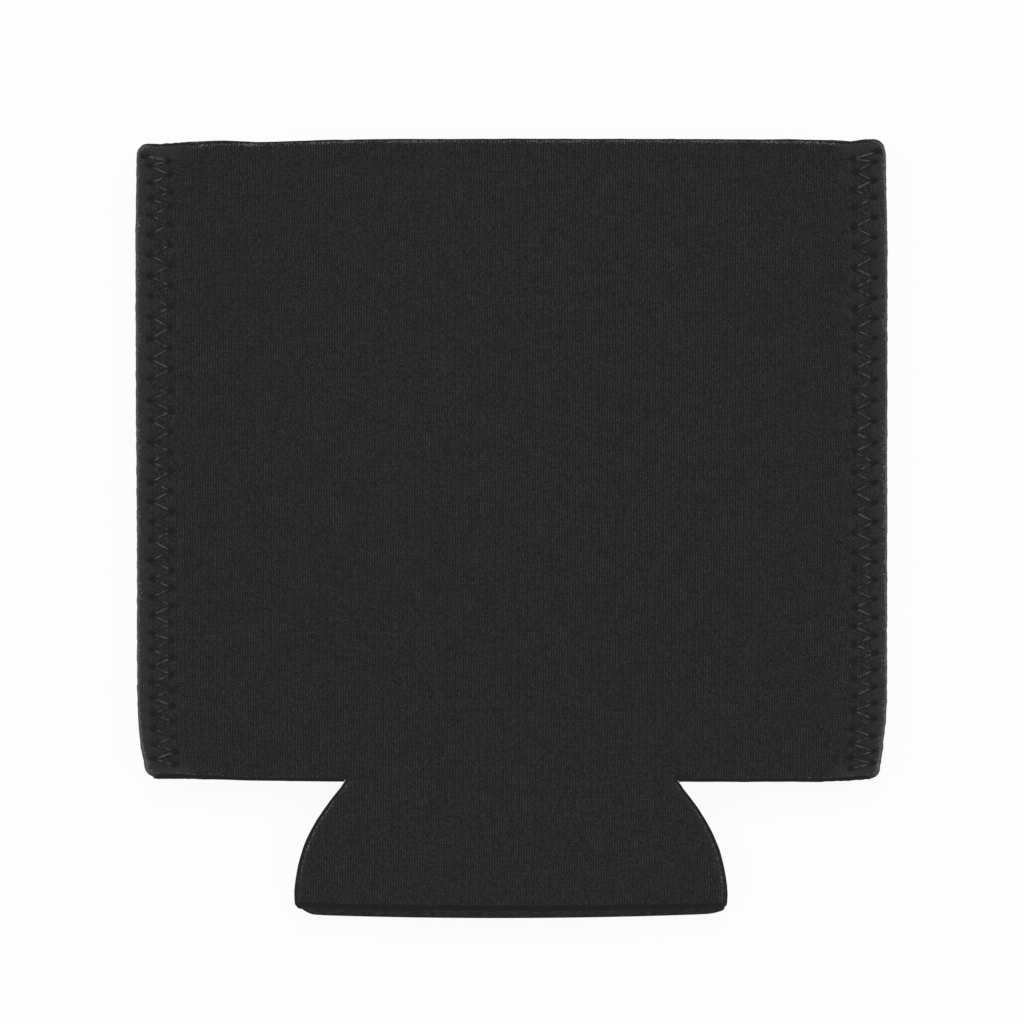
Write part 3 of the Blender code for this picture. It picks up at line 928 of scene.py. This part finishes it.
def calculate_vector(tree, operation, *values):
    return add_node(tree, "ShaderNodeVectorMath", values, operation=operation).outputs[0]


def rescale(tree, value, low, high, new_low, new_high):
    """The value, taken from one range to another without going past its ends."""
    return add_node(tree, "ShaderNodeMapRange", (value, low, high, new_low, new_high)).outputs[0]


def note(tree, name, output="Fac"):
    """What the points of the mesh carry under that name."""
    return add_node(tree, "ShaderNodeAttribute", attribute_name=name).outputs[output]


def noise(tree, place, size, detail=2.0):
    """Smooth noise from about 0 to 1 whose lumps are that many metres across."""
    inputs = {"Vector": place, "Scale": 1 / size, "Detail": detail}
    return add_node(tree, "ShaderNodeTexNoise", inputs, noise_dimensions="3D").outputs["Fac"]


def blend_to(tree, share, start, end):
    """From one colour to another, by that share. Each is a socket or three numbers."""
    start, end = (colour if isinstance(colour, bpy.types.NodeSocket) else (*colour, 1.0)
                  for colour in (start, end))
    inputs = {COLOUR_SHARE: share, COLOUR_START: start, COLOUR_END: end}
    return add_node(tree, "ShaderNodeMix", inputs, data_type="RGBA").outputs[COLOUR_MADE]


def cover(shader, colour, height, depth):
    """Gives a shader its colour and a bump of that height and depth."""
    tree = shader.id_data
    relief = add_node(tree, "ShaderNodeBump", {"Distance": depth, "Height": height})
    tree.links.new(colour, shader.inputs["Base Color"])
    tree.links.new(relief.outputs[0], shader.inputs["Normal"])

# %% Draw one stitch of the knit
WALE_WIDTH = 0.39 * MM
COURSE_HEIGHT = 0.29 * MM
LEG_LEAN = 0.6  # how far the legs of the V lean, in courses
STITCH_HUMP = 0.5  # how much of a rib's height the single stitches take up
WALE_WANDER = 0.35  # how far the ribs wander, in wales
WANDER_LENGTH = 5.0 * MM
STRANDS_ACROSS, STRANDS_ALONG = 4.0, 2.0  # places in a stitch that catch the light differently


def zigzag(tree, value):
    """0 at every whole number, up to 1 half way between them."""
    return calculate(tree, "MULTIPLY", calculate(tree, "PINGPONG", value, 0.5), 2.0)


def knit_height(tree, place):
    """The knit's height from 0 to 1, a chance for each strand, and 1 in every third groove."""
    apart = add_node(tree, "ShaderNodeSeparateXYZ", (place,)).outputs
    wander = calculate(tree, "MULTIPLY", noise(tree, place, WANDER_LENGTH), WALE_WANDER)
    wale = calculate(tree, "ADD", calculate(tree, "DIVIDE", apart["X"], WALE_WIDTH), wander)
    course = calculate(tree, "DIVIDE", apart["Y"], COURSE_HEIGHT)
    from_groove = zigzag(tree, wale)
    leaned = calculate(tree, "MULTIPLY_ADD", from_groove, LEG_LEAN, course)
    stitch = calculate(tree, "MULTIPLY_ADD", zigzag(tree, leaned), STITCH_HUMP, 1 - STITCH_HUMP)
    rib = rescale(tree, from_groove, 0.0, 0.7, 0.0, 1.0)
    parting = rescale(tree, from_groove, 0.75, 1.0, 1.0, 0.7)
    height = calculate(tree, "MULTIPLY", calculate(tree, "MULTIPLY", rib, parting), stitch)
    strand = [calculate(tree, "FLOOR", calculate(tree, "MULTIPLY", value, count))
              for value, count in ((wale, STRANDS_ACROSS), (leaned, STRANDS_ALONG))]
    cell = add_node(tree, "ShaderNodeCombineXYZ", strand).outputs[0]
    chance = add_node(tree, "ShaderNodeTexWhiteNoise", (cell,), noise_dimensions="2D")
    third = rescale(tree, calculate(tree, "PINGPONG", wale, 1.5), 0.15, 0.5, 1.0, 0.0)
    return height, chance.outputs["Value"], third

# %% Black knit
BLACK = (0.0, 0.0, 0.0)
KNIT_DARK, KNIT_LIGHT = (0.0001, 0.0001, 0.0001), (0.028, 0.028, 0.0283)
FOAM_DARK, FOAM_LIGHT = (0.0008, 0.0008, 0.0008), (0.006, 0.006, 0.0061)
FIBRE_PALE = (0.14, 0.14, 0.14)
# Painted highlight: the squeezed side edges are painted paler than the knit.
RIM_HIGHLIGHT = (0.075, 0.075, 0.076)
MARGIN_PALE = (0.02, 0.02, 0.0202)
WORN_PALE = (0.029, 0.029, 0.0293)
RIB_SHARE = (2.1, -0.97)  # how much of the shade comes from the ribs, and where it starts
STRAND_CHANCE = 1.8  # how much comes from each strand's own luck
MOTTLE, MOTTLE_SIZE = 0.5, 3.0 * MM
THIRD_GROOVE = 0.15  # how much darker every third groove is
FUZZ, FUZZ_SIZE, FUZZ_DEPTH = 0.65, 0.16 * MM, 0.03 * MM
KNIT_DEPTH = 0.06 * MM
SEAM_LIGHTER, SEAM_FLATTER = 0.55, 0.4
MARGIN_WIDTH, MARGIN_SHARE = 2.2, 0.85  # the paler margin outside the seam, in mm
PAINTED_SHADE_LOSS = 0.95  # how much of its colour a place with painted shade loses
HOLE_RAGGED, HOLE_RIM = 0.7, 0.05
SPECK_SIZE, SPECK_LEVEL, SPECK_SOFTNESS = 0.2 * MM, 0.76, 0.04
SPECK_CROWDING, SPECK_STRENGTH = 0.3, 0.8
PATCH_LENGTH, PATCHY = 4.0 * MM, 0.35  # the pale fibres come in stretches
BARE_EDGE, BARE_SHARE = 0.15, 0.5  # outside the seams fewer stand on the last of the edge, in mm
WORN_LENGTH, WORN_STRETCH = 0.7 * MM, 2.4


def about_zero(tree, value, amount, added_to):
    """Adds noise that swings that much about its mean."""
    start = calculate(tree, "SUBTRACT", added_to, amount / 2)
    return calculate(tree, "MULTIPLY_ADD", value, amount, start)


def worn_fibres(tree, room, cloth):
    """Lays grey fibres on the cloth, drawn out along the fold, where it is worn."""
    drawn = calculate_vector(tree, "MULTIPLY", room, (1.0, WORN_STRETCH, WORN_STRETCH))
    fibres = rescale(tree, noise(tree, drawn, WORN_LENGTH, 3.0), 0.48, 0.54, 0.0, 1.0)
    share = calculate(tree, "MULTIPLY", fibres, note(tree, "worn"))
    return blend_to(tree, share, cloth, WORN_PALE)


def pale_specks(tree, room, from_edge, seam, cloth):
    """Scatters pale broken fibres on the cloth, thicker where its note says so."""
    inward = calculate(tree, "ADD", from_edge, seam)
    spared = rescale(tree, inward, 0.0, BARE_EDGE, BARE_SHARE, 1.0)
    thick = calculate(tree, "MULTIPLY", note(tree, "fray"), spared)
    patches = rescale(tree, noise(tree, room, PATCH_LENGTH, 1.0), 0.4, 0.6, 1 - PATCHY, 1.0)
    patchy = calculate(tree, "MULTIPLY", thick, patches)
    crowded = calculate(tree, "MULTIPLY", patchy, SPECK_CROWDING)
    specks = calculate(tree, "ADD", noise(tree, room, SPECK_SIZE, 1.0), crowded)
    frayed = rescale(tree, specks, SPECK_LEVEL, SPECK_LEVEL + SPECK_SOFTNESS, 0.0, 1.0)
    frayed = calculate(tree, "MULTIPLY", frayed, rescale(tree, thick, 0.0, 0.1, 0.0, 1.0))
    return blend_to(tree, calculate(tree, "MULTIPLY", frayed, SPECK_STRENGTH), cloth, FIBRE_PALE)


knit, shader = principled("black_knit", {
    "Roughness": 0.92,
    "Specular IOR Level": 0.01,
    "Sheen Weight": 0.006,
    "Sheen Roughness": 0.35,
})
tree = knit.node_tree
room = add_node(tree, "ShaderNodeTexCoord").outputs["Object"]
place = note(tree, "flat_place", "Vector")
seam, from_edge = note(tree, "seam_share"), note(tree, "edge_distance")
fuzz, mottle = noise(tree, room, FUZZ_SIZE, 1.0), noise(tree, place, MOTTLE_SIZE, 3.0)
height, chance, third = knit_height(tree, place)
clear = rescale(tree, seam, 0.0, 1.0, 1.0, 1 - SEAM_FLATTER)
height = calculate(tree, "MULTIPLY", height, clear)
shade = calculate(tree, "MULTIPLY_ADD", height, *RIB_SHARE)
shade = about_zero(tree, chance, STRAND_CHANCE, shade)
shade = about_zero(tree, mottle, MOTTLE, shade)
shade = calculate(tree, "MULTIPLY_ADD", third, -THIRD_GROOVE, shade)
shade = about_zero(tree, fuzz, FUZZ, shade)
shade = calculate(tree, "MULTIPLY_ADD", seam, SEAM_LIGHTER, shade)
cloth = blend_to(tree, rescale(tree, shade, 0.0, 1.0, 0.0, 1.0), KNIT_DARK, KNIT_LIGHT)

margin = rescale(tree, from_edge, 0.0, MARGIN_WIDTH, MARGIN_SHARE, 0.0)
cloth = blend_to(tree, calculate(tree, "MULTIPLY", margin, seam), cloth, MARGIN_PALE)
# Painted shade: darkens the knit round the fold, below each thread, beside the neck and on the
# inner face.
lit = rescale(tree, note(tree, "shade"), 0.0, 1.0, 1.0, 1 - PAINTED_SHADE_LOSS)
cloth = blend_to(tree, lit, BLACK, cloth)
# Painted shade: the needle holes are painted black, with ragged rims.
ragged = about_zero(tree, fuzz, HOLE_RAGGED, note(tree, "hole"))
cloth = blend_to(tree, rescale(tree, ragged, -HOLE_RIM, HOLE_RIM, 0.0, 1.0), cloth, BLACK)
cloth = worn_fibres(tree, room, cloth)
# The rings of the cut edge are black foam, and on the squeezed sides a painted highlight.
rim = blend_to(tree, seam, FOAM_DARK, RIM_HIGHLIGHT)
cloth = blend_to(tree, rescale(tree, from_edge, -0.08, 0.0, 1.0, 0.0), cloth, rim)
cloth = pale_specks(tree, room, from_edge, seam, cloth)
relief = calculate(tree, "MULTIPLY_ADD", fuzz, FUZZ_DEPTH / KNIT_DEPTH, height)
cover(shader, cloth, relief, KNIT_DEPTH)

# %% [markdown]
# ## The cut foam
#
# The core is the same rubber foam as in a wetsuit: black, matt and full of tiny closed cells. The
# die tears them open, so the cut is rough and darker than the knit, with a few pale broken fibres
# of the knit caught along it.

# %% Black foam
CELL_SIZE, CELL_DEPTH = 0.16 * MM, 0.05 * MM
CELL_PATCH = 1.2 * MM

foam, shader = principled("black_foam", {"Roughness": 1.0, "Specular IOR Level": 0.02})
tree = foam.node_tree
room = add_node(tree, "ShaderNodeTexCoord").outputs["Object"]
cells = add_node(tree, "ShaderNodeTexVoronoi", {"Vector": room, "Scale": 1 / CELL_SIZE})
pore = rescale(tree, cells.outputs["Distance"], 0.1, 0.7, 1.0, 0.0)
wall = calculate(tree, "SUBTRACT", 1.0, pore)
shade = calculate(tree, "MULTIPLY", wall, noise(tree, room, CELL_PATCH, 3.0))
cut = worn_fibres(tree, room, blend_to(tree, shade, FOAM_DARK, FOAM_LIGHT))
cover(shader, cut, calculate(tree, "MULTIPLY", pore, -1.0), CELL_DEPTH)

# %% Dress the sleeve
KNIT_RINGS_ON_SIDES = 4  # the knit wraps over the squeezed edge of the seams

sleeve_mesh.materials.append(knit)
sleeve_mesh.materials.append(foam)
wrapped = (SQUEEZED > 0.1)[None, :] & (np.arange(ring_count) < KNIT_RINGS_ON_SIDES)[:, None]
material_of_face = np.zeros(len(face_list), np.int32)
material_of_face[-len(edge_faces):] = np.where(wrapped.ravel(), 0, 1)
sleeve_mesh.polygons.foreach_set("material_index", material_of_face)
sleeve_mesh.polygons.foreach_set("use_smooth", np.ones(len(face_list), bool))
sleeve_mesh.update()
sleeve = bpy.data.objects.new("sleeve", sleeve_mesh)
bpy.context.scene.collection.objects.link(sleeve)

# %% Say what the sleeve is
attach(sleeve, "root")
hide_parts("sleeve_body")

# %% [markdown]
# ## The seam threads
#
# A thread is three thin plies twisted together, and the twist is what glints in small beads along
# each stitch. Geometry Nodes suit a thing that follows a path: we give the tree a plain line
# through the needle holes, it copies the line once for each ply, winds the copies round it and
# gives each a round section. The same tree serves all four threads.

# %% A tree that twists plies along a line
PLIES, PLY_RADIUS, PLY_SIDES = 3, 0.055 * MM, 5
WINDING_RADIUS, TWIST_LENGTH = 0.052 * MM, 0.72 * MM
PLY_STEP, PLY_UNEVENNESS = 0.11 * MM, 0.02 * MM


def thread_tree():
    """Takes a line, a seed and a material, and gives a thread of plies twisted along the line."""
    tree = bpy.data.node_groups.new("twisted thread", "GeometryNodeTree")
    for name, kind in (("Line", "Geometry"), ("Seed", "Int"), ("Finish", "Material")):
        tree.interface.new_socket(name, in_out="INPUT", socket_type=f"NodeSocket{kind}")
    tree.interface.new_socket("Thread", in_out="OUTPUT", socket_type="NodeSocketGeometry")
    given = tree.nodes.new("NodeGroupInput").outputs

    def scaled(vector, amount):
        return calculate_vector(tree, "SCALE", vector, None, None, amount)

    def on_shape(kind, shape, inputs=(), **settings):
        """Adds a node that takes a shape and gives it on changed."""
        inputs = {"Geometry": shape, **dict(inputs)}
        return add_node(tree, "GeometryNode" + kind, inputs, **settings).outputs

    line = add_node(tree, "GeometryNodeResampleCurve", {"Curve": given["Line"], "Length": PLY_STEP},
                    mode="LENGTH")
    plies = on_shape("DuplicateElements", line.outputs[0], {"Amount": PLIES}, domain="SPLINE")
    length = add_node(tree, "GeometryNodeSplineParameter").outputs["Length"]
    turns = calculate(tree, "DIVIDE", length, TWIST_LENGTH)
    share = calculate(tree, "DIVIDE", plies["Duplicate Index"], PLIES)
    angle = calculate(tree, "MULTIPLY", calculate(tree, "ADD", turns, share), 2 * math.pi)
    normal = add_node(tree, "GeometryNodeInputNormal").outputs[0]
    tangent = add_node(tree, "GeometryNodeInputTangent").outputs[0]
    across = calculate_vector(tree, "CROSS_PRODUCT", tangent, normal)
    winding = calculate_vector(tree, "ADD", scaled(normal, calculate(tree, "COSINE", angle)),
                               scaled(across, calculate(tree, "SINE", angle)))
    limits = {"Min": (-1, -1, -1), "Max": (1, 1, 1), "Seed": given["Seed"]}
    wobble = add_node(tree, "FunctionNodeRandomValue", limits, data_type="FLOAT_VECTOR")
    offset = calculate_vector(tree, "ADD", scaled(winding, WINDING_RADIUS),
                              scaled(wobble.outputs["Value"], PLY_UNEVENNESS))
    wound = on_shape("SetPosition", plies["Geometry"], {"Offset": offset})
    section = add_node(tree, "GeometryNodeCurvePrimitiveCircle",
                       {"Resolution": PLY_SIDES, "Radius": PLY_RADIUS})
    skin = add_node(tree, "GeometryNodeCurveToMesh",
                    {"Curve": wound[0], "Profile Curve": section.outputs[0], "Fill Caps": True})
    rounded = on_shape("SetShadeSmooth", skin.outputs[0])
    whole = on_shape("RealizeInstances", rounded[0])
    finished = on_shape("SetMaterial", whole[0], {"Material": given["Finish"]})
    add_node(tree, "NodeGroupOutput", {"Thread": finished[0]})
    return tree


TWISTED_THREAD = thread_tree()


def grow(name, source, tree, **values):
    """Runs the tree on the source and keeps the result as a plain mesh of that name."""
    modifier = source.modifiers.new("grow", "NODES")
    modifier.node_group = tree
    for socket in tree.interface.items_tree:
        if socket.in_out == "INPUT" and socket.name in values:
            modifier[socket.identifier] = values[socket.name]
    bpy.context.scene.collection.objects.link(source)
    graph = bpy.context.evaluated_depsgraph_get()
    mesh = bpy.data.meshes.new_from_object(source.evaluated_get(graph))
    mesh.name = name
    bpy.data.objects.remove(source)
    piece = bpy.data.objects.new(name, mesh)
    bpy.context.scene.collection.objects.link(piece)
    return piece


# %% [markdown]
# ### The thread's finish
#
# Polyester sewing thread is smooth and a little shiny, and it is dyed the same black. Painted
# glints make its colour paler in stretches along each stitch, so it is the brightest thing on the
# sleeve, and it is painted black as shade where it sinks into a needle hole.

# %% Black thread
THREAD_DARK, THREAD_LIGHT = (0.004, 0.004, 0.0041), (0.09, 0.09, 0.092)
GLINT_LENGTH = 1.1 * MM
STRAND_SIZE, STRAND_DEPTH = 0.05 * MM, 0.01 * MM

thread_finish, shader = principled("black_thread", {"Roughness": 0.36, "Specular IOR Level": 0.12})
tree = thread_finish.node_tree
room = add_node(tree, "ShaderNodeTexCoord").outputs["Object"]
# Painted glints: the colour turns paler in stretches along each thread.
painted_glints = rescale(tree, noise(tree, room, GLINT_LENGTH, 2.0), 0.4, 0.64, 0.0, 1.0)
thread = blend_to(tree, painted_glints, THREAD_DARK, THREAD_LIGHT)
# Painted shade: the thread is black where it sinks into a needle hole.
thread = blend_to(tree, note(tree, "sunk_in_shade"), thread, BLACK)
cover(shader, thread, noise(tree, room, STRAND_SIZE), STRAND_DEPTH)

# %% [markdown]
# ### The line that a thread follows
#
# Between two holes the thread lies in its groove, tight on the foam. At each hole it dives into
# the pit, where it locks with the thread of the other side. The seams are tied off by a stitch or
# two sewn back, which fan out at the ends.

# %% Lay the lines
LAID_HEIGHT = 0.0856 * MM  # how far the thread's middle lies above the foot of its groove
DIVE, DIVE_REACH = 1.0 * MM, 0.42 * MM
POINTS_PER_STITCH = 10
# Stitches of the tie-off below the first hole and past the last one: how far out and up each lies.
TIE_OFFS = {
    "left": ([(2.6, 0.5)], [(-3.4, -0.1), (-0.9, -0.3), (-3.4, -0.7)]),
    "right": ([], [(-2.9, -0.9)]),
}


def thread_stops(side):
    """Where the thread goes in and out along a seam: (distance from the middle, height)."""
    stops = HOLES[side][:, :2]
    below, above = TIE_OFFS[side]
    start = [stops[0] + np.array(step) * MM for step in below]
    end = [stops[-1] + np.array(step) * MM for step in above]
    return np.array(start + list(stops) + end)


def thread_line(side, panel):
    """Points of the thread on that side of the sleeve, on the back or the front."""
    stops = thread_stops(side)
    sign, points = SIDES[side], []
    draw = (sign > 0) + 2 * (panel == FRONT)
    inner = BACK_INNER_Z + (LAYER_GAP if panel == FRONT else 0.0)
    for start, end in zip(stops, stops[1:]):
        length = np.hypot(*(end - start))
        for share in np.arange(POINTS_PER_STITCH) / POINTS_PER_STITCH:
            across, height = (start + (end - start) * share).reshape(2, 1)
            to_hole = min(share, 1 - share) * length
            rise = FOAM_THICKNESS * seam_loft(across, height, draw) - GROOVE_DEPTH + LAID_HEIGHT
            rise -= DIVE * bell(to_hole / DIVE_REACH)
            aside, along = settle(panel, sign * across, height)
            spot = [sign * across + aside, STRAP_Y + height + along, inner + panel * rise]
            points.append(np.ravel(spot))
    return points


def poly_line(name, points):
    """A curve object of one open line through those points."""
    curve = bpy.data.curves.new(name, "CURVE")
    curve.dimensions = "3D"
    spline = curve.splines.new("POLY")
    spline.points.add(len(points) - 1)
    for point, spot in zip(spline.points, points):
        point.co = (*spot, 1.0)
    return bpy.data.objects.new(name, curve)


# %% How deep the thread is in a hole
SUNK_FROM, SUNK_TO = 0.78 * MM, 0.42 * MM  # distance from a hole's middle


def sunk_in_shade(mesh, side, panel):
    """How far each point of the thread is painted black as shade: 0 in the open to 1 down in a
    hole.
    """
    spots = np.empty(len(mesh.vertices) * 3, np.float32)
    mesh.vertices.foreach_get("co", spots)
    spots = spots.reshape(-1, 3).astype(float)
    nearest = np.full(len(spots), 1.0)
    for across, height, outer, pull in HOLES[side]:
        x = np.array([SIDES[side] * across])
        aside, along = settle(panel, x, np.array([height]))
        away = np.hypot(spots[:, 0] - x - aside, spots[:, 1] - STRAP_Y - height - along)
        nearest = np.minimum(nearest, away)
    return smooth((SUNK_FROM - nearest) / (SUNK_FROM - SUNK_TO))


# %% Sew the seams
THREADS = {FRONT: "needle", BACK: "bobbin"}

for side in SIDES:
    for panel, thread in THREADS.items():
        line = poly_line(f"{side}_{thread}_line", thread_line(side, panel))
        stitches = grow(f"{side}_{thread}_stitches", line, TWISTED_THREAD,
                        Seed=3 + SIDES[side] + 5 * panel, Finish=thread_finish)
        note_points(stitches.data, "sunk_in_shade", sunk_in_shade(stitches.data, side, panel))
        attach(stitches, "root")
        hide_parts(f"{side}_seam_{thread}_thread")
        triangles = sum(len(face.vertices) - 2 for face in stitches.data.polygons)
        print(stitches.name, "triangles:", triangles)
